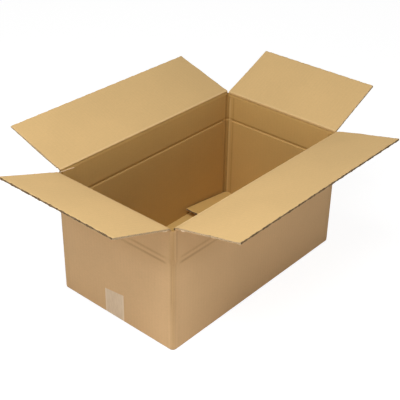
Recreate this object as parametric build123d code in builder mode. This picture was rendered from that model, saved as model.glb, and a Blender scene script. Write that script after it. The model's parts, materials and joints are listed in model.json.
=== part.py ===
# Open shipping carton, folded from one sheet of double-wall corrugated board.
# Its bottom is closed with clear tape, and its four top flaps stand folded outwards.
# Origin: middle of the base, on the floor. X runs along the long walls, +Z points up.

import os
from math import atan2, degrees, hypot, radians, tan

from build123d import *

os.makedirs("parts", exist_ok=True)

# box, outside sizes in millimetres
board = 5.0
box_length = 506.0
box_width = 300.0
corner_radius = 9.0
bottom_edge_radius = 3.5

# scores that the top flaps fold about: the long flaps close over the short ones
long_score_height = 269.2
short_score_height = 265.8
long_axis_depth = 2.8
short_axis_depth = 1.0
fold_gap = 0.15
fully_out = 140.0
mitre_play = 1.5

# top flaps, each leaning outwards from upright by its own angle
slot_inset = 7.0
slot_depth = 2.0
long_flap_length = 145.5
short_flap_length = 142.0
front_lean = 77.0
back_lean = 72.5
left_lean = 71.1
right_lean = 65.6

# the board's cut section: three liners, and between them two fluted papers
liner = 0.5
flute_paper = 0.4
flute_pitch = 9.15
flute_reach = 8.0

# bottom flaps: the long pair meets under the short pair, whose right one has sprung up
seam_gap = 2.0
lay_gap = 0.2
left_lift = 0.0
right_lift = 6.5
loose_inset = 9.0

# vertical folds: crushed bands each side of every inside corner
crush_width = 10.0
crush_depth = 0.8

# height crease round the walls: a groove inside and a low ridge outside
crease_height = 200.5
groove_width = 6.0
groove_depth = 1.2
ridge_crown = 6.0
ridge_slope = 3.0
ridge_rise = 0.6

# glue tab: the left wall runs on, flattened, inside the back wall
tab_length = 35.0
tab_thickness = 1.8
tab_bottom = 14.0
tab_top = 266.0
tab_slant = 4.0

# tape over the bottom seam, with a tail up each short wall
tape_width = 50.0
tape_thickness = 0.2
tape_tail = 61.0
tape_centre = 3.0

half_length = box_length / 2
half_width = box_width / 2
inside_length = box_length - 2 * board
inside_width = box_width - 2 * board
fold_taper = tan(radians((180.0 - fully_out) / 2))
flap_taper = tan(radians((180.0 - fully_out) / 2 - mitre_play / 2))


def export_piece(piece, name):
    piece.part.label = name
    export_step(piece.part, f"parts/{name}.step")


# tape: one strip, laid under the seam and turned up both ends
def tape_line(size, floor, radius):
    corners = [(-size, tape_tail), (-size, floor), (size, floor), (size, tape_tail)]
    return FilletPolyline(*corners, radius=radius)


with BuildPart() as bottom_tape:
    with BuildSketch(Plane.XZ.offset(-tape_centre)):
        with BuildLine():
            outside = tape_line(half_length + tape_thickness, 0, bottom_edge_radius + tape_thickness)
            inside = tape_line(half_length, tape_thickness, bottom_edge_radius)
            Line(outside @ 0, inside @ 0)
            Line(outside @ 1, inside @ 1)
        make_face()
    extrude(amount=tape_width / 2, both=True)
export_piece(bottom_tape, "bottom_tape")


def wall_top_cut(face, depth, height):
    # points above a wall's top: x is the distance out from the middle, y the height
    top = height + board
    play = board
    inside = face - board - play
    outside = face + play
    axis = face - depth
    return [
        (inside, height - (axis - inside)),
        (axis, height - fold_gap),
        (outside, height - fold_gap - (outside - axis) / fold_taper),
        (outside, top),
        (inside, top),
    ]


# body: walls, taped bottom flaps and glue tab, all one folded piece
with BuildPart() as carton_body:
    with BuildSketch():
        RectangleRounded(box_length, box_width, corner_radius)
    extrude(amount=long_score_height)
    fillet(carton_body.faces().sort_by(Axis.Z)[0].edges(), bottom_edge_radius)

    # height crease: a low ridge pressed out of the outside
    for way in (-1, 1):
        for rise_start, rise_amount, rise_taper in (
            (0, ridge_crown / 2, 0),
            (ridge_crown / 2, ridge_slope, degrees(atan2(ridge_rise, ridge_slope))),
        ):
            with BuildSketch(Plane.XY.offset(crease_height + way * rise_start)):
                RectangleRounded(
                    box_length + 2 * ridge_rise,
                    box_width + 2 * ridge_rise,
                    corner_radius + ridge_rise,
                )
            extrude(amount=way * rise_amount, taper=rise_taper)

    # the open inside, above the floor of folded bottom flaps
    with BuildSketch(Plane.XY.offset(board)):
        RectangleRounded(inside_length, inside_width, corner_radius - board)
    extrude(amount=long_score_height, mode=Mode.SUBTRACT)

    # gaps in the floor: the seam, and the slots at the ends of the long bottom flaps
    with BuildSketch():
        Rectangle(inside_length, seam_gap)
        with GridLocations(box_length - board - slot_inset, 0, 2, 1):
            Rectangle(slot_inset - board, inside_width)
    extrude(amount=board, mode=Mode.SUBTRACT)

    # height crease: the groove left inside
    for way in (-1, 1):
        with BuildSketch(Plane.XY.offset(crease_height)):
            RectangleRounded(
                inside_length + 2 * groove_depth,
                inside_width + 2 * groove_depth,
                corner_radius - board + groove_depth,
            )
        groove_taper = degrees(atan2(2 * groove_depth, groove_width))
        extrude(amount=way * groove_width / 2, taper=groove_taper, mode=Mode.SUBTRACT)

    # crushed bands beside the vertical folds
    band_height = long_score_height - board
    for x_side in (-1, 1):
        for y_side in (-1, 1):
            x_band = x_side * (half_length - corner_radius - crush_width / 2)
            y_band = y_side * (half_width - corner_radius - crush_width / 2)
            with Locations((x_band, y_side * (half_width - board), board + band_height / 2)):
                Box(crush_width, 2 * crush_depth, band_height, mode=Mode.SUBTRACT)
            with Locations((x_side * (half_length - board), y_band, board + band_height / 2)):
                Box(2 * crush_depth, crush_width, band_height, mode=Mode.SUBTRACT)

    # top edges, mitred for the flaps to fold in and tapered for them to fold out
    with BuildSketch(Plane.YZ):
        for side in (-1, 1):
            cut = wall_top_cut(half_width, long_axis_depth, long_score_height)
            Polygon(*[(side * x, y) for x, y in cut], align=None)
    extrude(amount=half_length - slot_inset, both=True, mode=Mode.SUBTRACT)
    with BuildSketch(Plane.XZ):
        for side in (-1, 1):
            cut = wall_top_cut(half_length, short_axis_depth, short_score_height)
            Polygon(*[(side * x, y) for x, y in cut], align=None)
    extrude(amount=half_width - slot_inset, both=True, mode=Mode.SUBTRACT)

    # corner slots, which end just below the scores
    with BuildSketch(Plane.XY.offset(short_score_height - slot_depth)):
        with GridLocations(box_length - slot_inset, box_width - slot_inset, 2, 2):
            Rectangle(slot_inset, slot_inset)
    extrude(amount=3 * board, mode=Mode.SUBTRACT)

    # glue tab against the inside of the back wall
    with BuildSketch(Plane.XZ.offset(board - crush_depth - half_width)):
        tab_start = board - half_length
        Polygon(
            (tab_start, tab_bottom),
            (tab_start + tab_length, tab_bottom + tab_slant),
            (tab_start + tab_length, tab_top - tab_slant),
            (tab_start, tab_top),
            align=None,
        )
    extrude(amount=tab_thickness + crush_depth)
    add(bottom_tape.part, mode=Mode.SUBTRACT)
export_piece(carton_body, "carton_body")


def flute_ends(width, outer):
    # the open ends of the flutes: a cell under every crest and one over every trough, in both layers
    waves = int(width / flute_pitch)
    layer = (board - 3 * liner) / 2
    paper_run = flute_paper * hypot(layer, flute_pitch / 2) / layer
    half_base = (flute_pitch - paper_run) / 2
    cell_height = layer * (1 - paper_run / flute_pitch)
    for low in (outer + liner, outer + 2 * liner + layer):
        with Locations((0, low)):
            with GridLocations(flute_pitch, 0, waves, 1):
                Polygon((-half_base, 0), (half_base, 0), (0, cell_height), align=None)
        with Locations((0, low + layer)):
            with GridLocations(flute_pitch, 0, waves - 1, 1):
                Polygon((-half_base, 0), (0, -cell_height), (half_base, 0), align=None)


def top_flap(name, outward, fold_line, lean, length, width, depth):
    # a flap drawn at its lean: its section runs out from the fold, its inner face up
    along = outward.rotate(Axis((0, 0, 0), outward.cross(Vector(0, 0, 1))), 90 - lean)
    hinge = outward.cross(Vector(0, 0, 1))
    free_edge = Vector(*fold_line) + along * length
    inner = board - depth
    with BuildPart() as flap:
        with BuildSketch(Plane(origin=fold_line, x_dir=along, z_dir=hinge)):
            Polygon(
                (fold_gap, 0),
                (fold_gap + depth / flap_taper, -depth),
                (length, -depth),
                (length, inner),
                (fold_gap + inner * tan(radians(45 + mitre_play)), inner),
                align=None,
            )
        extrude(amount=width / 2, both=True)
        with BuildSketch(Plane(origin=free_edge, x_dir=-hinge, z_dir=along)):
            flute_ends(width, -depth)
        extrude(amount=-flute_reach, mode=Mode.SUBTRACT)
    export_piece(flap, name)


long_flap_width = box_length - 2 * slot_inset
short_flap_width = box_width - 2 * slot_inset
for name, side, lean in (("front_top_flap", -1, front_lean), ("back_top_flap", 1, back_lean)):
    fold_line = (0, side * (half_width - long_axis_depth), long_score_height)
    top_flap(name, Vector(0, side, 0), fold_line, lean, long_flap_length, long_flap_width, long_axis_depth)
for name, side, lean in (("left_top_flap", -1, left_lean), ("right_top_flap", 1, right_lean)):
    fold_line = (side * (half_length - short_axis_depth), 0, short_score_height)
    top_flap(name, Vector(side, 0, 0), fold_line, lean, short_flap_length, short_flap_width, short_axis_depth)

# short bottom flaps, lying loose inside on the long ones and hinged at the wall's foot
for name, side, lift in (("left_bottom_flap", -1, left_lift), ("right_bottom_flap", 1, right_lift)):
    inward = Vector(-side, 0, 0)
    hinge = inward.cross(Vector(0, 0, 1))
    along = inward.rotate(Axis((0, 0, 0), hinge), lift)
    fold_line = (side * (half_length - board - lay_gap), 0, 2 * board + lay_gap)
    with BuildPart() as flap:
        with BuildSketch(Plane(origin=fold_line, x_dir=along, z_dir=hinge)):
            with Locations(((short_flap_length + fold_gap) / 2, -board / 2)):
                Rectangle(short_flap_length - fold_gap, board)
        extrude(amount=half_width - loose_inset, both=True)
    export_piece(flap, name)
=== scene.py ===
import json
import math

import bmesh
import bpy
from mathutils import Matrix, Vector


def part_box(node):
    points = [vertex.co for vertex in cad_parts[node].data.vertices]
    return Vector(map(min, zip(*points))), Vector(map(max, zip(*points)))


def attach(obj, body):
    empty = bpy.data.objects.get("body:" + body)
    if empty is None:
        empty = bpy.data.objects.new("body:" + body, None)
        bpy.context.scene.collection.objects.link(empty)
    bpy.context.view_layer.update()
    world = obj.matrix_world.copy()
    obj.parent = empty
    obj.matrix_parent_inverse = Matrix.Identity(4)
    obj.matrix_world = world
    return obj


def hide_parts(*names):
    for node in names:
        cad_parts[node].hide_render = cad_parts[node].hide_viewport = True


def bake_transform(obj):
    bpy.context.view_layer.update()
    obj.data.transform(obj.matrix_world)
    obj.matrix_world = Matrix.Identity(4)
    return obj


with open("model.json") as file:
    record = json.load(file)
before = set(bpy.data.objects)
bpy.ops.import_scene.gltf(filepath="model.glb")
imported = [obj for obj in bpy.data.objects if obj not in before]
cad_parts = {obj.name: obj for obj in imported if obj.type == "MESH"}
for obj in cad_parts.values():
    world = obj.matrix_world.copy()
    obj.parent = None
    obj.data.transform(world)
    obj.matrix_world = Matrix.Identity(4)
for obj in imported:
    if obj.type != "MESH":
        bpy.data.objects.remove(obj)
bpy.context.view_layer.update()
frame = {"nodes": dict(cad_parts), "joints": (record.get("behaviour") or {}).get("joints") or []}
joints = {joint["name"]: joint for joint in frame["joints"]}
nodes = frame["nodes"]
print("frame loaded:", len(nodes), "nodes,", len(joints), "folds")

# the board that the whole carton is cut from, in metres
board = {
    "thickness": 0.005,
    "liner": 0.00042,
    "flutePaper": 0.00026,
    "flutePitch": 0.0079,
    "samplesPerWave": 12,
    "pinch": 0.34,           # share by which a cut edge is pressed thinner
    "pinchReach": 0.0016,
    "pinchChange": 1.10,     # and how unevenly along the edge
    "pinchSlant": 1.7,
    "pinchWaves": ((0.4, 197, 0.0), (0.3, 431, 1.3), (0.3, 690, 0.4)),
}

# outside sizes of the walls, without the low ridge that the height crease presses out of them
ridgeRise = 0.0006
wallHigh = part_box("carton_body")[1]
boxLength = 2 * (wallHigh.x - ridgeRise)
boxWidth = 2 * (wallHigh.y - ridgeRise)
zAxis = Vector((0, 0, 1))


def addNode(tree, kind, inputs=None, **settings):
    # inputs are constants or other nodes' outputs, by name or by number
    node = tree.nodes.new(kind)
    for key, value in settings.items():
        setattr(node, key, value)
    for key, value in (inputs or {}).items():
        if isinstance(value, bpy.types.NodeSocket):
            tree.links.new(value, node.inputs[key])
        else:
            node.inputs[key].default_value = value
    return node


def doMath(tree, operation, *values):
    return addNode(tree, "ShaderNodeMath", dict(enumerate(values)), operation=operation).outputs[0]


def remap(tree, value, low, high, toLow=0.0, toHigh=1.0):
    inputs = {"Value": value, "From Min": low, "From Max": high, "To Min": toLow, "To Max": toHigh}
    return addNode(tree, "ShaderNodeMapRange", inputs, interpolation_type="SMOOTHSTEP").outputs["Result"]


def mixOf(tree, kind, factor, first, second, **settings):
    inputs = {"Factor": factor, "A": first, "B": second}
    return addNode(tree, "ShaderNodeMix", inputs, data_type=kind, **settings).outputs["Result"]


def mixColour(tree, factor, first, second, blend="MIX"):
    first, second = ((*value, 1) if isinstance(value, tuple) else value for value in (first, second))
    return mixOf(tree, "RGBA", factor, first, second, blend_type=blend)


def noiseOn(tree, vector, scale, detail=2.0, rough=0.5):
    inputs = {"Vector": vector, "Scale": scale, "Detail": detail, "Roughness": rough}
    return addNode(tree, "ShaderNodeTexNoise", inputs).outputs["Fac"]


def stretch(tree, place, scale):
    return addNode(tree, "ShaderNodeMapping", {"Vector": place, "Scale": scale}).outputs["Vector"]


def splitAxes(tree, vector):
    return addNode(tree, "ShaderNodeSeparateXYZ", {0: vector}).outputs


def joinAxes(tree, **axes):
    return addNode(tree, "ShaderNodeCombineXYZ", axes).outputs[0]


def newMaterial(name, roughness, specular):
    material = bpy.data.materials.new(name)
    material.use_nodes = True
    tree = material.node_tree
    shader = tree.nodes["Principled BSDF"]
    shader.inputs["Roughness"].default_value = roughness
    shader.inputs["Specular IOR Level"].default_value = specular
    return material, tree, shader


def addBump(tree, shader, relief):
    # relief is in millimetres
    bump = addNode(tree, "ShaderNodeBump", {"Strength": 1.0, "Distance": 0.001, "Height": relief})
    tree.links.new(bump.outputs["Normal"], shader.inputs["Normal"])


# kraft papers of the board: colours are linear
kraft = {
    # painted shade: the walls' inside is the same paper as the flaps' inside, drawn darker for the shade
    # within the box
    "inside": (0.562, 0.350, 0.120),
    # painted shade: the floor flaps' top, the same paper as the flaps' inside, drawn darker for the shade
    # at the bottom of the box
    "shadedFloorFlap": (0.650, 0.430, 0.148),
    "flapInside": (0.704, 0.474, 0.212),
    "outside": (0.710, 0.464, 0.241),
    "cut": (0.680, 0.490, 0.290),
    "fluteEnd": (0.400, 0.250, 0.120),
    # painted shade: the hollows between the liners, drawn nearly black
    "hollowShade": (0.110, 0.058, 0.024),
    "pressed": (0.480, 0.325, 0.170),
    "torn": (0.800, 0.630, 0.420),
    "wornAndShaded": (0.60, 0.54, 0.44),          # crushed fibres at a score, and painted shade in creases, corners, under the flaps and at the foot
    # paler: stretched paper, and painted highlights on lit slopes and along the folds' rim
    "stretchedAndLit": (1.13, 1.20, 1.36),
    "roughness": 0.88,
    "specular": 0.14,
    "cloud": 0.020,                      # slow change of tone over a hand's width
    "cloudScale": 7.0,
    "cloudRange": (0.32, 0.68),
    "streak": 0.030,                     # fibres, which run across the flutes
    "streakRange": (0.3, 0.7),
    "grain": {"X": (150, 900, 900), "Y": (900, 150, 900)},     # by the axis across the flutes
    "speck": 0.10,
    "speckScale": 260.0,
    "speckSize": (0.05, 0.16),
    "fluteTone": 0.011,
    "patchScale": 16.0,                  # patches where the flutes show less
    "patchRange": (0.35, 0.65),
    "patchLeast": 0.35,
    "fluteBump": 0.008,                  # millimetres
    "fibreBump": 0.022,
    "fibreScale": 2.2,
}


def bandOn(tree, value, low, high, soft):
    # 1 between low and high, with soft edges
    rising = remap(tree, value, low - soft, low + soft)
    falling = remap(tree, value, high - soft, high + soft, 1.0, 0.0)
    return doMath(tree, "MULTIPLY", rising, falling)


def paperTone(tree, place, grain, fluteAcross):
    # brightness of plain kraft round 1, and its relief in millimetres
    def around(value, span, change):
        return remap(tree, value, *span, 1 - change, 1 + change)

    cloud = around(noiseOn(tree, place, kraft["cloudScale"], 3.0), kraft["cloudRange"], kraft["cloud"])
    streak = around(noiseOn(tree, grain, 1.0, 4.0, 0.62), kraft["streakRange"], kraft["streak"])
    speck = addNode(tree, "ShaderNodeTexVoronoi", {"Vector": place, "Scale": kraft["speckScale"]})
    speckDark = remap(tree, speck.outputs["Distance"], *kraft["speckSize"], 1 - kraft["speck"], 1.0)
    wave = doMath(tree, "SINE", doMath(tree, "MULTIPLY", fluteAcross, 2 * math.pi / board["flutePitch"]))
    patchy = noiseOn(tree, place, kraft["patchScale"])
    patch = remap(tree, patchy, *kraft["patchRange"], kraft["patchLeast"], 1.0)
    flute = doMath(tree, "MULTIPLY", wave, patch)
    fluteTone = doMath(tree, "MULTIPLY_ADD", flute, kraft["fluteTone"], 1.0)
    fibrous = doMath(tree, "MULTIPLY", cloud, streak)
    tone = doMath(tree, "MULTIPLY", fibrous, doMath(tree, "MULTIPLY", speckDark, fluteTone))
    relief = doMath(tree, "MULTIPLY", flute, kraft["fluteBump"])
    fibre = doMath(tree, "MULTIPLY", noiseOn(tree, grain, kraft["fibreScale"], 3.0), kraft["fibreBump"])
    return tone, doMath(tree, "ADD", relief, fibre)


def finishPaper(tree, shader, colour, tone, relief):
    grey = addNode(tree, "ShaderNodeCombineColor", {channel: tone for channel in range(3)})
    toned = mixColour(tree, 1.0, colour, grey.outputs["Color"], "MULTIPLY")
    tree.links.new(toned, shader.inputs["Base Color"])
    addBump(tree, shader, relief)


def tintByWearAndShading(tree, colour, wearAndShading):
    # crushed fibres and painted shade are browner, stretched paper and painted highlights paler
    crushedAndShaded = doMath(tree, "MAXIMUM", doMath(tree, "MULTIPLY", wearAndShading, -1.0), 0.0)
    tint = mixColour(tree, crushedAndShaded, (1, 1, 1), kraft["wornAndShaded"])
    tint = mixColour(tree, doMath(tree, "MAXIMUM", wearAndShading, 0.0), tint, kraft["stretchedAndLit"])
    return mixColour(tree, 1.0, colour, tint, "MULTIPLY")


def flapPaper(name, colour, axis):
    # one liner of a flap, whose flutes lie side by side along the axis
    material, tree, shader = newMaterial(name, kraft["roughness"], kraft["specular"])
    place = addNode(tree, "ShaderNodeTexCoord").outputs["Object"]
    grain = stretch(tree, place, kraft["grain"][axis])
    tone, relief = paperTone(tree, place, grain, splitAxes(tree, place)[axis])
    # the folds' wear with their painted shade and highlights, as a vertex attribute
    wearAndShading = addNode(tree, "ShaderNodeAttribute", attribute_name="wearAndShading").outputs["Fac"]
    finishPaper(tree, shader, tintByWearAndShading(tree, colour, wearAndShading), tone, relief)
    return material


# marks on the walls, by height or by distance from a corner: crushed and stretched paper at the scores,
# with painted shade and painted highlights in creases, corners, under the flaps and at the foot
marks = {
    # bands: low, high, soft edge, and tint from -1 crushed paper and painted shade to 1 stretched paper and
    # painted highlight
    # the height crease outside: darker feet of its ridge are crushed fibres and painted shade, its crown a
    # faint painted highlight
    "outerCrease": (
        (0.1905, 0.1955, 0.0022, -0.50),
        (0.1965, 0.2010, 0.0018, 0.04),
        (0.2020, 0.2060, 0.0020, -0.28),
    ),
    "outerCorner": ((-0.0050, 0.0080, 0.0035, -0.44), (0.0090, 0.0190, 0.0030, -0.06)),
    # a painted contact shadow along the foot of the walls
    "footShadow": ((-0.001, 0.0030, 0.0008, -0.90),),
    "cornerLine": ((0.0046, 0.0062, 0.0008, -0.35),),        # beside the fold, on the end walls
    # a painted highlight down the middle of the rounding above the crease, with a faint darker band beside
    # it
    "cornerShine": ((0.0050, 0.0070, 0.0012, 0.40), (0.0088, 0.0120, 0.0016, -0.15)),
    # the crease's groove inside: painted highlight on its lower slope, painted shade on its upper slope
    "innerCrease": ((0.1965, 0.2015, 0.0020, 0.30), (0.2030, 0.2062, 0.0008, -0.60)),
    # the inside corners: painted shade in each corner, a paler band over the crushed strip, and on the end
    # walls painted shade along its far step
    "longCorner": ((-0.0010, 0.0112, 0.0010, -0.80), (0.0125, 0.0180, 0.0015, 0.30)),
    "endCorner": (
        (-0.0010, 0.0096, 0.0008, -0.72),
        (0.0098, 0.0142, 0.0008, 0.95),
        (0.0205, 0.0240, 0.0012, -0.40),
    ),
    # slopes: from, to, and the values there
    "outerReach": (0.02, 0.22, 1.0, 0.15),
    "outerStart": (0.012, 0.026),
    "shadeUnderFlaps": (0.150, 0.215, 0.0, -0.22),                 # painted shade: darker towards the top of each wall, under the flaps
    "cornerReach": (0.009, 0.013, 1.0, 0.0),
    # on the rounded corner: painted shade towards the top, under the flaps, and painted light near the foot
    "cornerShadeUnderFlaps": (0.185, 0.206, 0.0, -0.15),
    "cornerLitFoot": (0.020, 0.110, 0.18, 0.0),
    "cornerShineFrom": (0.190, 0.206),
    # where the floor flaps' painted shade goes on the body
    "floorFacing": (0.4, 0.6),
    "floorHeight": (0.010, 0.012, 1.0, 0.0),
    "cornerLineSpan": (0.100, 0.190, 0.020),                 # low, high and soft edge
}


def wallPaper(name):
    # the carton's body: one paper outside, the same paper inside drawn darker as painted shade, and flutes
    # upright in every wall
    material, tree, shader = newMaterial(name, kraft["roughness"], kraft["specular"])
    coords = addNode(tree, "ShaderNodeTexCoord").outputs
    place, facing = splitAxes(tree, coords["Object"]), splitAxes(tree, coords["Normal"])
    z = place["Z"]

    def calc(operation, *values):
        return doMath(tree, operation, *values)

    def slope(value, key):
        return remap(tree, value, *marks[key])

    def bands(value, key):
        total = 0.0
        for low, high, soft, change in marks[key]:
            total = calc("ADD", total, calc("MULTIPLY", bandOn(tree, value, low, high, soft), change))
        return total

    fromX, fromY = calc("ABSOLUTE", place["X"]), calc("ABSOLUTE", place["Y"])
    endWall = calc("GREATER_THAN", calc("ABSOLUTE", facing["X"]), calc("ABSOLUTE", facing["Y"]))

    def byWall(longWall, shortWall, kind="FLOAT"):
        return mixOf(tree, kind, endWall, longWall, shortWall)

    grain = byWall(*(stretch(tree, coords["Object"], kraft["grain"][axis]) for axis in "XY"), "VECTOR")
    tone, relief = paperTone(tree, coords["Object"], grain, byWall(place["X"], place["Y"]))

    # outside is everything past the board's own mid-line
    half = board["thickness"] / 2
    pastX = calc("SUBTRACT", fromX, boxLength / 2 - half)
    pastY = calc("SUBTRACT", fromY, boxWidth / 2 - half)
    past = calc("MAXIMUM", calc("MAXIMUM", pastX, pastY), calc("SUBTRACT", half, z))
    outer = calc("GREATER_THAN", past, 0.0)
    # the inside colour is painted shade
    colour = mixColour(tree, outer, kraft["inside"], kraft["outside"])
    # painted shade on the floor of the box
    paintedShadeOnFloor = calc("MULTIPLY", slope(facing["Z"], "floorFacing"), slope(z, "floorHeight"))
    colour = mixColour(tree, paintedShadeOnFloor, colour, kraft["shadedFloorFlap"])

    # outside: the height crease, the rounded folds and the foot, with painted shade, painted highlights and
    # a painted contact shadow
    toCorner = byWall(calc("SUBTRACT", boxLength / 2, fromX), calc("SUBTRACT", boxWidth / 2, fromY))
    fade = calc("MULTIPLY", slope(toCorner, "outerReach"), slope(toCorner, "outerStart"))
    cornerShading = calc("ADD", slope(z, "cornerShadeUnderFlaps"), slope(z, "cornerLitFoot"))
    line = calc("MULTIPLY", bandOn(tree, z, *marks["cornerLineSpan"]), bands(toCorner, "cornerLine"))
    shine = calc("MULTIPLY", slope(z, "cornerShineFrom"), bands(toCorner, "cornerShine"))
    outerMark = calc("MULTIPLY", fade, bands(z, "outerCrease"))
    for mark in (
        bands(toCorner, "outerCorner"),
        bands(z, "footShadow"),
        slope(z, "shadeUnderFlaps"),
        calc("MULTIPLY", slope(toCorner, "cornerReach"), cornerShading),
        byWall(shine, line),
    ):
        outerMark = calc("ADD", outerMark, mark)

    # inside: painted shade and a paler band in the crushed corners, and painted shade and highlight on the
    # crease's groove
    cornerMark = byWall(bands(toCorner, "longCorner"), bands(toCorner, "endCorner"))
    innerMark = calc("ADD", cornerMark, bands(z, "innerCrease"))
    wearAndShading = mixOf(tree, "FLOAT", outer, innerMark, outerMark)
    finishPaper(tree, shader, tintByWearAndShading(tree, colour, wearAndShading), tone, relief)
    return material


# sawn-through liners, the darker cut ends of the fluted paper, and painted shade for the hollows between
# the liners
cuts = {
    "roughness": 0.95,
    "toneScale": 900.0,
    "toneRange": (0.3, 0.7),
    "tone": (0.86, 1.12),
    "reliefScale": 1500.0,
    "relief": 0.05,          # millimetres
}


def cutPaper(name, paper):
    material, tree, shader = newMaterial(name, cuts["roughness"], 0.0)
    place = addNode(tree, "ShaderNodeTexCoord").outputs["Object"]
    tone = remap(tree, noiseOn(tree, place, cuts["toneScale"], 3.0), *cuts["toneRange"], *cuts["tone"])
    relief = doMath(tree, "MULTIPLY", noiseOn(tree, place, cuts["reliefScale"]), cuts["relief"])
    finishPaper(tree, shader, paper, tone, relief)
    return material


finishes = {
    "wall": wallPaper("kraftWallsWithPaintedShade"),
    "floorY": flapPaper("kraftShadedFloorFlaps", kraft["shadedFloorFlap"], "Y"),
}
for axis, kind in (("X", "Long"), ("Y", "Short")):
    finishes["inner" + axis] = flapPaper(f"kraftInner{kind}Flaps", kraft["flapInside"], axis)
    finishes["outer" + axis] = flapPaper(f"kraftOuter{kind}Flaps", kraft["outside"], axis)
    finishes["wall" + axis] = flapPaper(f"kraftShadedInside{kind}Walls", kraft["inside"], axis)
for key, name in (
    ("cut", "kraftCutEdge"),
    ("fluteEnd", "kraftFluteEnds"),
    ("hollowShade", "kraftHollowShade"),
    ("torn", "kraftTorn"),
    ("pressed", "kraftPressedEnd"),
):
    finishes[key] = cutPaper(name, kraft[key])

bodyMesh = nodes["carton_body"].data
bodyMesh.materials.clear()
bodyMesh.materials.append(finishes["wall"])
print("papers made:", len(finishes))


# fluted papers: one sine sheet, swept along the flutes and stacked in both layers of the board
def makeFluteTree():
    tree = bpy.data.node_groups.new("flutedLayers", "GeometryNodeTree")
    tree.interface.new_socket("Geometry", in_out="OUTPUT", socket_type="NodeSocketGeometry")
    for name in ("Width", "Reach", "Pitch", "Height", "Paper", "Layer Step"):
        tree.interface.new_socket(name, in_out="INPUT", socket_type="NodeSocketFloat")
    tree.interface.new_socket("Samples", in_out="INPUT", socket_type="NodeSocketInt")
    tree.interface.new_socket("Material", in_out="INPUT", socket_type="NodeSocketMaterial")
    given = tree.nodes.new("NodeGroupInput").outputs
    result = tree.nodes.new("NodeGroupOutput")

    half = doMath(tree, "MULTIPLY", given["Width"], 0.5)
    line = addNode(tree, "GeometryNodeCurvePrimitiveLine", {
        "Start": joinAxes(tree, X=doMath(tree, "MULTIPLY", half, -1.0)),
        "End": joinAxes(tree, X=half),
    })
    resample = addNode(tree, "GeometryNodeResampleCurve", {
        "Curve": line.outputs["Curve"],
        "Count": given["Samples"],
    })

    # crests and troughs
    position = addNode(tree, "GeometryNodeInputPosition").outputs[0]
    turns = doMath(tree, "DIVIDE", splitAxes(tree, position)["X"], given["Pitch"])
    wave = doMath(tree, "SINE", doMath(tree, "MULTIPLY", turns, 2 * math.pi))
    rise = doMath(tree, "MULTIPLY", wave, doMath(tree, "MULTIPLY", given["Height"], 0.5))
    shape = addNode(tree, "GeometryNodeSetPosition", {
        "Geometry": resample.outputs["Curve"],
        "Offset": joinAxes(tree, Z=rise),
    })
    level = addNode(tree, "GeometryNodeSetCurveNormal", {"Curve": shape.outputs["Geometry"]}, mode="Z_UP")

    # the paper's own section, as long as the flute
    paper = addNode(tree, "GeometryNodeCurvePrimitiveQuadrilateral", {
        "Width": given["Reach"],
        "Height": given["Paper"],
    }, mode="RECTANGLE")
    sweep = addNode(tree, "GeometryNodeCurveToMesh", {
        "Curve": level.outputs["Curve"],
        "Profile Curve": paper.outputs["Curve"],
        "Fill Caps": True,
    })

    stack = addNode(tree, "GeometryNodeMeshLine", {
        "Count": 2,
        "Offset": joinAxes(tree, Z=given["Layer Step"]),
    })
    layers = addNode(tree, "GeometryNodeInstanceOnPoints", {
        "Points": stack.outputs["Mesh"],
        "Instance": sweep.outputs["Mesh"],
    })
    real = addNode(tree, "GeometryNodeRealizeInstances", {"Geometry": layers.outputs["Instances"]})
    paint = addNode(tree, "GeometryNodeSetMaterial", {
        "Geometry": real.outputs["Geometry"],
        "Material": given["Material"],
    })
    tree.links.new(paint.outputs["Geometry"], result.inputs["Geometry"])
    return tree


fluteTree = makeFluteTree()


def runTree(name, tree, values):
    # a Geometry Nodes result as a plain mesh
    host = bpy.data.objects.new(name, bpy.data.meshes.new(name))
    bpy.context.scene.collection.objects.link(host)
    modifier = host.modifiers.new("build", "NODES")
    modifier.node_group = tree
    for item in tree.interface.items_tree:
        if item.in_out == "INPUT":
            modifier[item.identifier] = values[item.name]
    evaluated = host.evaluated_get(bpy.context.evaluated_depsgraph_get())
    mesh = bpy.data.meshes.new_from_object(evaluated)
    host.modifiers.remove(modifier)
    bpy.data.objects.remove(host)
    return mesh


def foldPlace(jointName):
    # local frame of a fold: x across it, y out along the flap, z up from the flap's inner face
    joint = joints[jointName]
    hinge = Vector(joint["axis"]).normalized()
    level = zAxis.cross(hinge)
    if "top" in jointName:
        rise = math.radians(180 - joint["range_deg"][1])
    else:
        rise = math.radians(-joint["range_deg"][0])
    along = Matrix.Rotation(rise, 3, hinge) @ level
    place = Matrix((hinge, along, hinge.cross(along))).transposed().to_4x4()
    place.translation = Vector(joint["pos_m"])
    return place, rise


def ripple(x, waves):
    # waves: size, pace and start of each
    return sum(size * math.sin(x * pace + start) for size, pace, start in waves)


def joinRings(bm, rings):
    # quads from each ring of vertices to the next
    made = []
    for first, second in zip(rings, rings[1:]):
        for k in range(len(first)):
            after = (k + 1) % len(first)
            made.append(bm.faces.new((first[k], first[after], second[after], second[k])))
    return made


def closeRings(bm, rings):
    # the same with both ends capped: the caps come first
    made = [bm.faces.new(rings[0]), bm.faces.new(rings[-1][::-1])] + joinRings(bm, rings)
    bmesh.ops.recalc_face_normals(bm, faces=made)
    return made


def makePiece(name, bm, finishKeys):
    mesh = bpy.data.meshes.new(name)
    bm.to_mesh(mesh)
    bm.free()
    for key in finishKeys:
        mesh.materials.append(finishes[key])
    piece = bpy.data.objects.new(name, mesh)
    bpy.context.scene.collection.objects.link(piece)
    return piece


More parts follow.
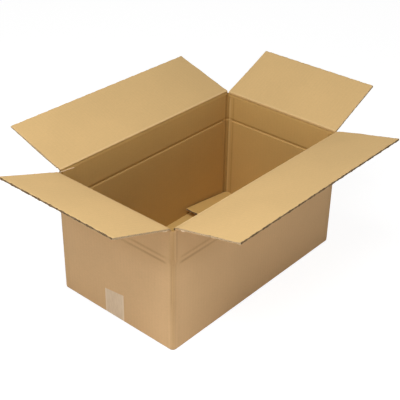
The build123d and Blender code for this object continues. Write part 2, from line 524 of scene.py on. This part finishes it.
# flaps of corrugated board: three liners and two fluted papers, cut across the flutes at the free end
flaps = {
    "topInset": 0.007,
    "looseInset": 0.009,
    "looseRoot": 0.0002,
    "gridStep": 0.03,
    "acrossStep": 0.003,
    "fineSteps": (0.0005, 0.0014, 0.003, 0.006),
    "fluteInset": 0.0003,
    "sideInset": 0.0001,
    "sideWall": 0.0005,      # the slotter crushes the sides shut
    "sideHollow": 0.0004,
    "sideProfile": (0, 0.6, 1, 0.5, 0),
    "sideStep": 0.004,
    "tearSteps": 7,
    "tearLap": 0.0004,
    "tearPaper": 0.0003,
    "tearLevel": 0.0006,     # above the flap's outer face
    "dipReach": 0.013,
    "dipSteps": 5,
}

longFlap = {
    "width": boxLength - 2 * flaps["topInset"],
    "length": 0.14548,
    "outerDepth": 0.0028,
    "rootOuter": 0.0084,
    "axis": "X",
}
shortFlap = {
    "width": boxWidth - 2 * flaps["topInset"],
    "length": 0.14198,
    "outerDepth": 0.0010,
    "rootOuter": 0.0042,
    "axis": "Y",
}
# dip: crushed deeper at the fold where it was leant on; tear: start, length, reach and droop
topFlaps = {
    "front": {**longFlap, "rootInner": 0.0026, "dip": 0.0021, "tear": (0.0050, 0.0110, 0.0008, 0.0007)},
    "back": {**longFlap, "rootInner": 0.0026, "dip": 0.0, "tear": None},
    "left": {**shortFlap, "rootInner": 0.0026, "dip": 0.0016, "tear": (0.0040, 0.0130, 0.0009, 0.0008)},
    "right": {**shortFlap, "rootInner": 0.0052, "dip": 0.0, "tear": None},     # clear of the wall's mitre
}
looseFlap = {
    **shortFlap,
    "width": boxWidth - 2 * flaps["looseInset"],
    "outerDepth": board["thickness"],
    "rootOuter": flaps["looseRoot"],
    "rootInner": flaps["looseRoot"],
    "dip": 0.0,
    "tear": None,
}
slots = {"inner": 0, "outer": 1, "cut": 2, "hollowShade": 3, "fluteEnd": 4, "torn": 5}
cutKeys = ("cut", "hollowShade", "fluteEnd", "torn")


def addPlate(bm, across, out, low, high, paperSlots, heightAt):
    # a paper sheet: across and out are its grid lines, and its slots are below, above and at the rim
    rows = [[[bm.verts.new((x, y, heightAt(x, y, z))) for x in across] for y in out] for z in (low, high)]
    for grid, flip, slot in zip(rows, (True, False), paperSlots):
        for near, far in zip(grid, grid[1:]):
            for i in range(len(across) - 1):
                corners = [near[i], near[i + 1], far[i + 1], far[i]]
                bm.faces.new(corners[::-1] if flip else corners).material_index = slot
    rim = [(j, 0) for j in range(len(out))][::-1] + [(0, i) for i in range(1, len(across))]
    rim += [(j, len(across) - 1) for j in range(1, len(out))]
    rim += [(len(out) - 1, i) for i in range(len(across) - 2, 0, -1)]
    for (j0, i0), (j1, i1) in zip(rim, rim[1:] + rim[:1]):
        face = bm.faces.new((rows[0][j0][i0], rows[0][j1][i1], rows[1][j1][i1], rows[1][j0][i0]))
        face.material_index = paperSlots[2]


def edgeLines(low, high, spread, both):
    # grid lines, close together at a cut edge
    fine = flaps["fineSteps"]
    lines = [low] + ([low + step for step in fine] if both else [])
    first, last = lines[-1], high - fine[-1]
    count = max(1, round((last - first) / spread))
    lines += [first + (last - first) * k / count for k in range(1, count + 1)]
    return lines + [high - step for step in reversed(fine[:-1])] + [high]


def rootShare(y, dip):
    # how much of the board's thickness is left at y from its fold
    away = min(max(y / flaps["dipReach"], 0.0), 1.0)
    return 1 - dip / board["thickness"] * (1 - away * away * (3 - 2 * away))


def addSide(bm, side, half, root, length, low, high, pinched):
    # the crushed side of a flap, hollowed a little between its liners
    count = round((length - root) / flaps["sideStep"])
    profile = flaps["sideProfile"]
    rings = []
    for k in range(count + 1):
        y = root + (length - root) * k / count
        ring = []
        for step, inset in enumerate(profile):
            sway = 0.5 + ripple(y, ((0.3, 410, step), (0.2, 930, 2 * step)))
            x = half - flaps["sideInset"] - flaps["sideHollow"] * inset * sway
            ring.append((x, y, pinched(x, y, low + (high - low) * step / (len(profile) - 1))))
        ring += [(x - flaps["sideWall"], y, z) for x, y, z in reversed(ring)]
        rings.append([bm.verts.new((side * x, y, z)) for x, y, z in ring])
    for face in closeRings(bm, rings):
        face.material_index = slots["cut"]


def addTear(bm, side, half, root, level, tear):
    # a sliver of the outer liner, torn where the slot ends and hanging off the flap's side
    start, length, reach, droop = tear
    fixed, paper = half - flaps["tearLap"], flaps["tearPaper"]
    rings = []
    for k in range(flaps["tearSteps"] + 1):
        share = k / flaps["tearSteps"]
        swell = math.sin(math.pi * share) ** 0.6
        x = half + flaps["sideInset"] + reach * swell * (1 + 0.3 * math.sin(share * 23))
        y, z = root + start + length * share, level - droop * swell
        ring = [(fixed, y, level), (x, y, z), (x, y, z - paper), (fixed, y, level - paper)]
        rings.append([bm.verts.new((side * x, y, z)) for x, y, z in ring])
    for face in closeRings(bm, rings):
        face.material_index = slots["torn"]


def addFlutes(bm, name, flap, low, middle, pinched):
    liner, paper, root = board["liner"], board["flutePaper"], flap["rootOuter"]
    gap = middle - low - 1.5 * liner
    reach = flap["length"] - root
    width = flap["width"] - 2 * flaps["fluteInset"]
    mesh = runTree(name + "Flutes", fluteTree, {
        "Width": width,
        "Reach": reach,
        "Pitch": board["flutePitch"],
        "Height": gap - paper,
        "Paper": paper,
        "Layer Step": gap + liner,
        "Samples": round(width / board["flutePitch"] * board["samplesPerWave"]) + 1,
        "Material": finishes["cut"],
    })
    for vertex in mesh.vertices:
        x, y, z = vertex.co
        y += root + reach / 2
        vertex.co = (x, y, pinched(x, y, z + low + liner + gap / 2))
    before = len(bm.faces)
    bm.from_mesh(mesh)
    bm.faces.ensure_lookup_table()
    bm.normal_update()
    for face in bm.faces[before:]:
        face.material_index = slots["fluteEnd"] if abs(face.normal.y) > 0.9 else slots["hollowShade"]
    bpy.data.meshes.remove(mesh)


def makeFlap(name, node, jointName, flap, finishKeys):
    place = foldPlace(jointName)[0]
    width, length, dip, liner = flap["width"], flap["length"], flap["dip"], board["liner"]
    rootInner, rootOuter = flap["rootInner"], flap["rootOuter"]
    low, high = -flap["outerDepth"], board["thickness"] - flap["outerDepth"]
    middle = (low + high) / 2

    def pinched(x, y, z):
        edge = min(length - y, width / 2 - abs(x))
        uneven = ripple(x + y * board["pinchSlant"] + width, board["pinchWaves"])
        share = board["pinch"] * max(0, 1 + board["pinchChange"] * uneven)
        z += (middle - z) * share * math.exp(-max(edge, 0) / board["pinchReach"])
        return low + (z - low) * rootShare(y, dip)

    bm = bmesh.new()
    across = edgeLines(-width / 2, width / 2, flaps["acrossStep"], True)
    for bottom, root, kinds in (
        (low, rootOuter, ("outer", "hollowShade", "cut")),
        (middle - liner / 2, (rootInner + rootOuter) / 2, ("hollowShade", "hollowShade", "cut")),
        (high - liner, rootInner, ("hollowShade", "inner", "cut")),
    ):
        out = edgeLines(root, length, flaps["gridStep"], False)
        if dip:
            reach, steps = flaps["dipReach"], flaps["dipSteps"]
            out = [root + reach * k / steps for k in range(steps)] + [y for y in out if y > reach]
        addPlate(bm, across, out, bottom, bottom + liner, [slots[kind] for kind in kinds], pinched)
    addFlutes(bm, name, flap, low, middle, pinched)
    for side in (-1, 1):
        root = max(rootInner, rootOuter)
        addSide(bm, side, width / 2, root, length, low + liner / 2, high - liner / 2, pinched)
    if flap["tear"]:
        # at the near corner, which has the lowest x and y
        ends = {side: place @ Vector((side * width / 2, 0, 0)) for side in (-1, 1)}
        near = min(ends, key=lambda side: ends[side].x + ends[side].y)
        addTear(bm, near, width / 2, rootOuter, low + flaps["tearLevel"], flap["tear"])

    bm.transform(place)
    piece = makePiece(name, bm, finishKeys)
    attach(piece, node)
    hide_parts(node)


for side, flap in topFlaps.items():
    papers = ("inner" + flap["axis"], "outer" + flap["axis"], *cutKeys)
    makeFlap(side + "Flap", side + "_top_flap", side + "_top_fold", flap, papers)
for side in ("left", "right"):
    papers = ("floorY", "outerY", *cutKeys)
    makeFlap(side + "LooseFlap", side + "_bottom_flap", side + "_bottom_fold", looseFlap, papers)
print("flaps made")


# folds: the scored board that turns from a wall into its top flap
folds = {
    "overlap": 0.005,        # laid over the wall and the flap on each side
    "outerOverlap": 0.003,
    "proud": 0.00005,
    "bend": 0.0016,
    "bendSteps": 6,
    "bendStretchAndHighlight": 0.5,
    "scoreDepth": 0.0004,
    "scoreWidth": 0.0019,
    "stretchedWidth": 0.0022,
    "stretchedEnd": 0.0012,
    "crushStart": 0.0002,    # below the foot of the wall's mitre
    "crushLift": 0.0003,     # over the fold line
    "crushSteps": 6,
    "mitre": 20.0,           # degrees, of the wall's top outside the fold line
    "wallClear": 0.0002,
    "flapClear": 0.0004,
    "outerBulge": 0.0046,
    "endPinch": 0.70,        # the cut ends of the fold are pressed thin
    "endReach": 0.003,
    "wobble": 0.00010,
    "acrossStep": 0.003,
    "sharp": 40.0,           # degrees
    "blendReach": 0.0028,
}


def flapAxes(rise):
    return Vector((math.cos(rise), math.sin(rise))), Vector((-math.sin(rise), math.cos(rise)))


# a fold's section lies round its fold line, x outwards and y up, as points with their wear and painted
# light: below zero crushed and shaded, above zero stretched and highlit
def scoredLine(rise, inner):
    # inside: a score low in the wall, darker as crushed fibres and painted shade, the bend, and stretched
    # paper on the flap, paler as a painted highlight along the rim
    along, up = flapAxes(rise)
    over, bend = folds["overlap"], folds["bend"]
    face = inner + folds["proud"]
    corner = Vector((-face, face * (1 - math.sin(rise)) / math.cos(rise)))
    turn = math.pi / 2 - rise
    reach = bend * math.tan(turn / 2)
    centre = Vector((-face + bend, corner.y - reach))
    deep, wide = -face + folds["scoreDepth"], folds["scoreWidth"]
    line = [
        (Vector((-face, -inner - over)), 0.0),
        (Vector((-face, -inner)), -0.3),
        (Vector((deep, -inner + wide * 0.3)), -0.6),
        (Vector((deep, -inner + wide * 0.7)), -0.6),
        (Vector((-face, -inner + wide)), -0.4),
    ]
    for step in range(folds["bendSteps"] + 1):
        share = step / folds["bendSteps"]
        angle = math.pi - turn * share
        point = centre + bend * Vector((math.cos(angle), math.sin(angle)))
        line.append((point, folds["bendStretchAndHighlight"] * share))
    flat = corner + along * (reach + folds["stretchedWidth"])
    return line + [
        (flat, 0.4),
        (flat + along * folds["stretchedEnd"], 0.0),
        (along * (inner + over) + up * face, 0.0),
    ]


def crushedLine(rise, inner, outer, dip):
    # inside, where it was leant on: up the wall's slanted top, darker as crushed fibres and painted shade,
    # over the fold line with a painted highlight, and out to full thickness
    along, up = flapAxes(rise)
    over, proud, steps = folds["overlap"], folds["proud"], folds["crushSteps"]
    line = [
        (Vector((-inner - proud, -inner - over)), 0.0),
        (Vector((-inner - proud, -inner - folds["crushStart"])), -0.4),
        (Vector((-inner * 0.55, -inner * 0.55 + 2 * proud)), -0.9),
        (Vector((-inner * 0.2, -inner * 0.2 + 4 * proud)), -0.3),
        (up * folds["crushLift"], 0.7),
    ]
    for k in range(1, steps + 1):
        y = (inner + over) * k / steps
        height = -outer + board["thickness"] * rootShare(y, dip) + proud
        line.append((along * y + up * height, max(0.0, 0.9 - 0.3 * k)))
    return line


def outerLine(rise, outer):
    # outside: from the flap round the bulging liner to the wall
    along, up = flapAxes(rise)
    face, lap = outer + folds["proud"], folds["outerOverlap"]
    wallDrop = outer / math.tan(math.radians(folds["mitre"])) + folds["wallClear"]
    flapRoot = wallDrop + folds["flapClear"]
    wallEdge = Vector((face, -wallDrop))
    flapEdge = along * flapRoot - up * face
    bulge = min(folds["outerBulge"], (wallEdge + flapEdge).length / 2)
    middle = (Vector((1, 0)) - up).normalized() * bulge
    line = [
        along * (flapRoot + lap) - up * face,
        flapEdge,
        flapEdge.lerp(middle, 0.5) * 0.97,
        middle,
        wallEdge.lerp(middle, 0.5) * 0.97,
        wallEdge,
        Vector((face, -wallDrop - lap)),
    ]
    return [(point, 0.0) for point in line]


def makeFold(side, flap):
    joint = joints[side + "_top_fold"]
    rise = foldPlace(joint["name"])[1]
    outer, width = flap["outerDepth"], flap["width"]
    inner = board["thickness"] - outer
    hinge, origin = Vector(joint["axis"]).normalized(), Vector(joint["pos_m"])
    outward = zAxis.cross(hinge)
    inside = crushedLine(rise, inner, outer, flap["dip"]) if flap["dip"] else scoredLine(rise, inner)
    section = inside + outerLine(rise, outer)
    count = math.ceil(width / folds["acrossStep"])
    bm = bmesh.new()
    wearAndShading = bm.verts.layers.float.new("wearAndShading")
    rings = []
    for k in range(count + 1):
        x = -width / 2 + width * k / count
        thin = folds["endPinch"] * math.exp(-(width / 2 - abs(x)) / folds["endReach"])
        ring = []
        for number, (point, wornAndShaded) in enumerate(section):
            loose = 1 if 3 < number < len(inside) - 2 else 0
            wobble = ripple(x, ((1.0, 310, number * 0.4), (0.6, 790, number * 0.3)))
            away = point.normalized() * folds["wobble"] * wobble * loose
            if number >= len(inside):
                point = point * (1 - thin)
            spot = origin + hinge * x + outward * (point.x + away.x) + Vector((0, 0, point.y + away.y))
            vertex = bm.verts.new(spot)
            vertex[wearAndShading] = wornAndShaded * (0.85 + 0.15 * math.sin(x * 430 + 1.3 * math.sin(x * 97)))
            ring.append(vertex)
        rings.append(ring)

    # the wall's paper runs up to the score, and the flap's from there on
    flapSlot, outsideSlot, endSlot, wallSlot = range(4)
    faces = closeRings(bm, rings)
    for cap in faces[:2]:
        cap.material_index = endSlot
    for number, face in enumerate(faces[2:]):
        k = number % len(section)
        insideSlot = wallSlot if k < 3 else flapSlot
        face.material_index = insideSlot if k < len(inside) - 1 else outsideSlot
        face.smooth = True
    for edge in bm.edges:
        edge.smooth = len(edge.link_faces) == 2 and edge.calc_face_angle() < math.radians(folds["sharp"])
    axis = flap["axis"]
    piece = makePiece(side + "Fold", bm, ("inner" + axis, "outer" + axis, "pressed", "wall" + axis))
    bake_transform(piece)


for side, flap in topFlaps.items():
    makeFold(side, flap)
print("folds made")


# tape over the bottom seam: torn off on the saw teeth of its holder, a little askew at both ends
tape = {
    "width": 0.050,
    "centre": 0.003,
    "thickness": 0.0002,
    "bend": 0.0035,
    "bendSteps": 5,
    "leftEnd": (0.0640, 0.0580),         # height of its end at the front and at the back margin
    "rightEnd": (0.0590, 0.0625),
    "tooth": 0.0016,
    "toothDepth": 0.0007,
    "rows": 8,
    "colour": (0.760, 0.573, 0.378),
    "paleColour": (0.875, 0.690, 0.488),
    "roughness": 0.36,
    "specular": 0.5,
    "coat": 0.25,
    "coatRoughness": 0.2,
    "streaks": (60, 420, 60),
    "air": (0.40, 0.66),                 # share of the streaks that have air under them
    "airPale": 0.55,
    "margin": (0.0195, 0.0235),          # from the middle of the tape
    "marginPale": 0.9,
    "relief": 0.05,                      # millimetres
}


def tapeFilm(name):
    # clear tape: the board shows through it, paler where air is trapped and at its margins
    material, tree, shader = newMaterial(name, tape["roughness"], tape["specular"])
    place = addNode(tree, "ShaderNodeTexCoord").outputs["Object"]
    streaks = noiseOn(tree, stretch(tree, place, tape["streaks"]), 1.0, 3.0, 0.6)
    air = remap(tree, streaks, *tape["air"])
    fromCentre = doMath(tree, "SUBTRACT", splitAxes(tree, place)["Y"], tape["centre"])
    margin = remap(tree, doMath(tree, "ABSOLUTE", fromCentre), *tape["margin"])
    airPale = doMath(tree, "MULTIPLY", air, tape["airPale"])
    pale = doMath(tree, "MAXIMUM", airPale, doMath(tree, "MULTIPLY", margin, tape["marginPale"]))
    tree.links.new(mixColour(tree, pale, tape["colour"], tape["paleColour"]), shader.inputs["Base Color"])
    addBump(tree, shader, doMath(tree, "MULTIPLY", streaks, tape["relief"]))
    shader.inputs["Coat Weight"].default_value = tape["coat"]
    shader.inputs["Coat Roughness"].default_value = tape["coatRoughness"]
    return material


def tapeLeg(side, top):
    # one half of the tape's inner face, from its end down the wall and round under the box: x, z and normal
    bend, film, face = tape["bend"], tape["thickness"], boxLength / 2
    leg = [(side * face, top + (bend - top) * row / tape["rows"], side, 0) for row in range(tape["rows"])]
    for step in range(tape["bendSteps"] + 1):
        angle = math.pi / 2 * step / tape["bendSteps"]
        out, down = math.cos(angle), math.sin(angle)
        leg.append((side * (face - bend + bend * out), film + bend - bend * down, side * out, -down))
    return leg


def makeTape():
    film, count = tape["thickness"], round(tape["width"] / (tape["tooth"] / 2))
    bm = bmesh.new()
    columns = []
    for number in range(count + 1):
        share = number / count
        y = tape["centre"] + tape["width"] * (share - 0.5)
        notch = tape["toothDepth"] if number % 2 else 0.0
        leftTop, rightTop = (
            heights[0] + (heights[1] - heights[0]) * share - notch
            for heights in (tape["leftEnd"], tape["rightEnd"])
        )
        path = tapeLeg(-1, leftTop) + tapeLeg(1, rightTop)[::-1]
        inner = [bm.verts.new((x, y, z)) for x, z, nx, nz in path]
        outer = [bm.verts.new((x + nx * film, y, z + nz * film)) for x, z, nx, nz in path]
        columns.append(inner + outer[::-1])
    joinRings(bm, columns)
    size = len(columns[0])
    for column in (columns[0], columns[-1]):
        for k in range(size // 2 - 1):
            bm.faces.new((column[k], column[k + 1], column[size - 2 - k], column[size - 1 - k]))
    bmesh.ops.recalc_face_normals(bm, faces=bm.faces[:])
    piece = makePiece("seamTape", bm, ("tape",))
    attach(piece, "carton")
    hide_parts("bottom_tape")


finishes["tape"] = tapeFilm("clearTapeOnKraft")
makeTape()
print("tape laid")


# the glue tab's cut top edge, a pale line on the inside of the back wall
tab = {
    "reach": 0.035,
    "top": 0.266,
    "slant": 0.004,
    "depth": 0.0018,
    "edge": 0.0009,
    "startInset": 0.0006,
    "endInset": 0.0004,
    "clear": 0.0001,
    "steps": 14,
    "ragged": ((0.0002, 31, 0), (0.0001, 83, 0)),
}


def makeTabEdge():
    start, wall = board["thickness"] - boxLength / 2, boxWidth / 2 - board["thickness"]
    length = tab["reach"] - tab["startInset"] - tab["endInset"]
    bm = bmesh.new()
    rings = []
    for k in range(tab["steps"] + 1):
        share = k / tab["steps"]
        x = start + tab["startInset"] + length * share
        low = tab["top"] - tab["slant"] * share - tab["clear"]
        ragged = abs(ripple(share, tab["ragged"]))
        front = wall - tab["depth"] + tab["clear"] + ragged
        high = low + tab["edge"] + ragged
        ring = ((x, wall, low), (x, front, low), (x, front, high), (x, wall, high))
        rings.append([bm.verts.new(point) for point in ring])
    closeRings(bm, rings)
    piece = makePiece("glueTabEdge", bm, ("torn",))
    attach(piece, "carton")


makeTabEdge()
print("tab edge laid")


# camera, at the place that the photograph was taken from
camera = {
    "place": (-1.1755, -1.0013, 1.0929),
    "forward": (0.6480, 0.55686, -0.51962),
    "roll": 1.077,
    "lens": 79.83,
    "sensor": 36.0,
    "clip": (0.05, 50),
}


def addCamera():
    data = bpy.data.cameras.new("photoCamera")
    data.lens = camera["lens"]
    data.sensor_width = camera["sensor"]
    data.clip_start, data.clip_end = camera["clip"]
    forward = Vector(camera["forward"]).normalized()
    right = forward.cross(zAxis).normalized()
    right = Matrix.Rotation(-math.radians(camera["roll"]), 3, forward) @ right
    turned = Matrix((right, right.cross(forward), -forward)).transposed().to_4x4()
    holder = bpy.data.objects.new("photoCamera", data)
    holder.matrix_world = Matrix.Translation(camera["place"]) @ turned
    bpy.context.scene.collection.objects.link(holder)
    bpy.context.scene.camera = holder


# light: a pale room, brightest round the horizon as in a white studio, and soft lamps overhead
studio = {
    "sky": 0.06,
    "horizon": 1.09,
    "horizonTop": 0.65,      # how high the bright band reaches, as a share of straight up
    "lamps": (               # name, place, target, size and power
        ("topLamp", (-0.62, -0.34, 1.57), (-0.15, -0.10, 0.2), 0.85, 14.7),
        ("leftLamp", (-1.5, 0, 1.9), (0, 0, 0.2), 1.2, 10.6),
        ("nearLamp", (-0.80, -0.70, 0.12), (-0.25, -0.15, 0.03), 0.3, 0.45),
    ),
    "floorSize": 12.0,
    "floorBounce": 0.80,
    "floorGlow": 0.915,
    "floorShade": 0.24,
}


def mixShaders(tree, factor, first, second, outputName):
    mix = addNode(tree, "ShaderNodeMixShader", {"Fac": factor, 1: first.outputs[0], 2: second.outputs[0]})
    tree.links.new(mix.outputs[0], tree.nodes[outputName].inputs["Surface"])


def addRoom():
    world = bpy.data.worlds.new("paleRoom")
    bpy.context.scene.world = world
    world.use_nodes = True
    tree = world.node_tree
    way = splitAxes(tree, addNode(tree, "ShaderNodeTexCoord").outputs["Generated"])
    room = tree.nodes["Background"]
    room.inputs["Color"].default_value = (1, 1, 1, 1)
    band = remap(tree, way["Z"], 0.0, studio["horizonTop"], studio["horizon"], studio["sky"])
    tree.links.new(band, room.inputs["Strength"])
    white = addNode(tree, "ShaderNodeBackground", {"Color": (1, 1, 1, 1), "Strength": 1.0})
    rays = addNode(tree, "ShaderNodeLightPath").outputs
    seen = doMath(tree, "MAXIMUM", rays["Is Camera Ray"], rays["Is Glossy Ray"])
    seen = doMath(tree, "MAXIMUM", seen, rays["Is Transmission Ray"])
    mixShaders(tree, seen, room, white, "World Output")


def addLamps():
    for name, place, target, size, power in studio["lamps"]:
        light = bpy.data.lights.new(name, "AREA")
        light.shape = "DISK"
        light.size = size
        light.energy = power
        lamp = bpy.data.objects.new(name, light)
        aim = Vector(target) - Vector(place)
        lamp.matrix_world = Matrix.Translation(place) @ aim.to_track_quat("-Z", "Y").to_matrix().to_4x4()
        lamp.visible_camera = False
        bpy.context.scene.collection.objects.link(lamp)


def addFloor():
    # the camera sees the floor white, with only the box's shadow on it
    half = studio["floorSize"] / 2
    mesh = bpy.data.meshes.new("paleFloor")
    corners = [(-half, -half, 0), (half, -half, 0), (half, half, 0), (-half, half, 0)]
    mesh.from_pydata(corners, [], [(0, 1, 2, 3)])
    material, tree, shader = newMaterial("paleFloor", 1.0, 0.0)
    shader.inputs["Base Color"].default_value = (*[studio["floorBounce"]] * 3, 1)
    shade = addNode(tree, "ShaderNodeBsdfDiffuse", {"Color": (*[studio["floorShade"]] * 3, 1)})
    glow = addNode(tree, "ShaderNodeEmission", {"Color": (1, 1, 1, 1), "Strength": studio["floorGlow"]})
    together = addNode(tree, "ShaderNodeAddShader", {0: shade.outputs[0], 1: glow.outputs[0]})
    rays = addNode(tree, "ShaderNodeLightPath").outputs
    mixShaders(tree, rays["Is Camera Ray"], shader, together, "Material Output")
    mesh.materials.append(material)
    floor = bpy.data.objects.new("paleFloor", mesh)
    bpy.context.scene.collection.objects.link(floor)


addCamera()
addRoom()
addLamps()
addFloor()
bpy.context.scene.view_settings.view_transform = "Standard"
print("camera, light and floor set")
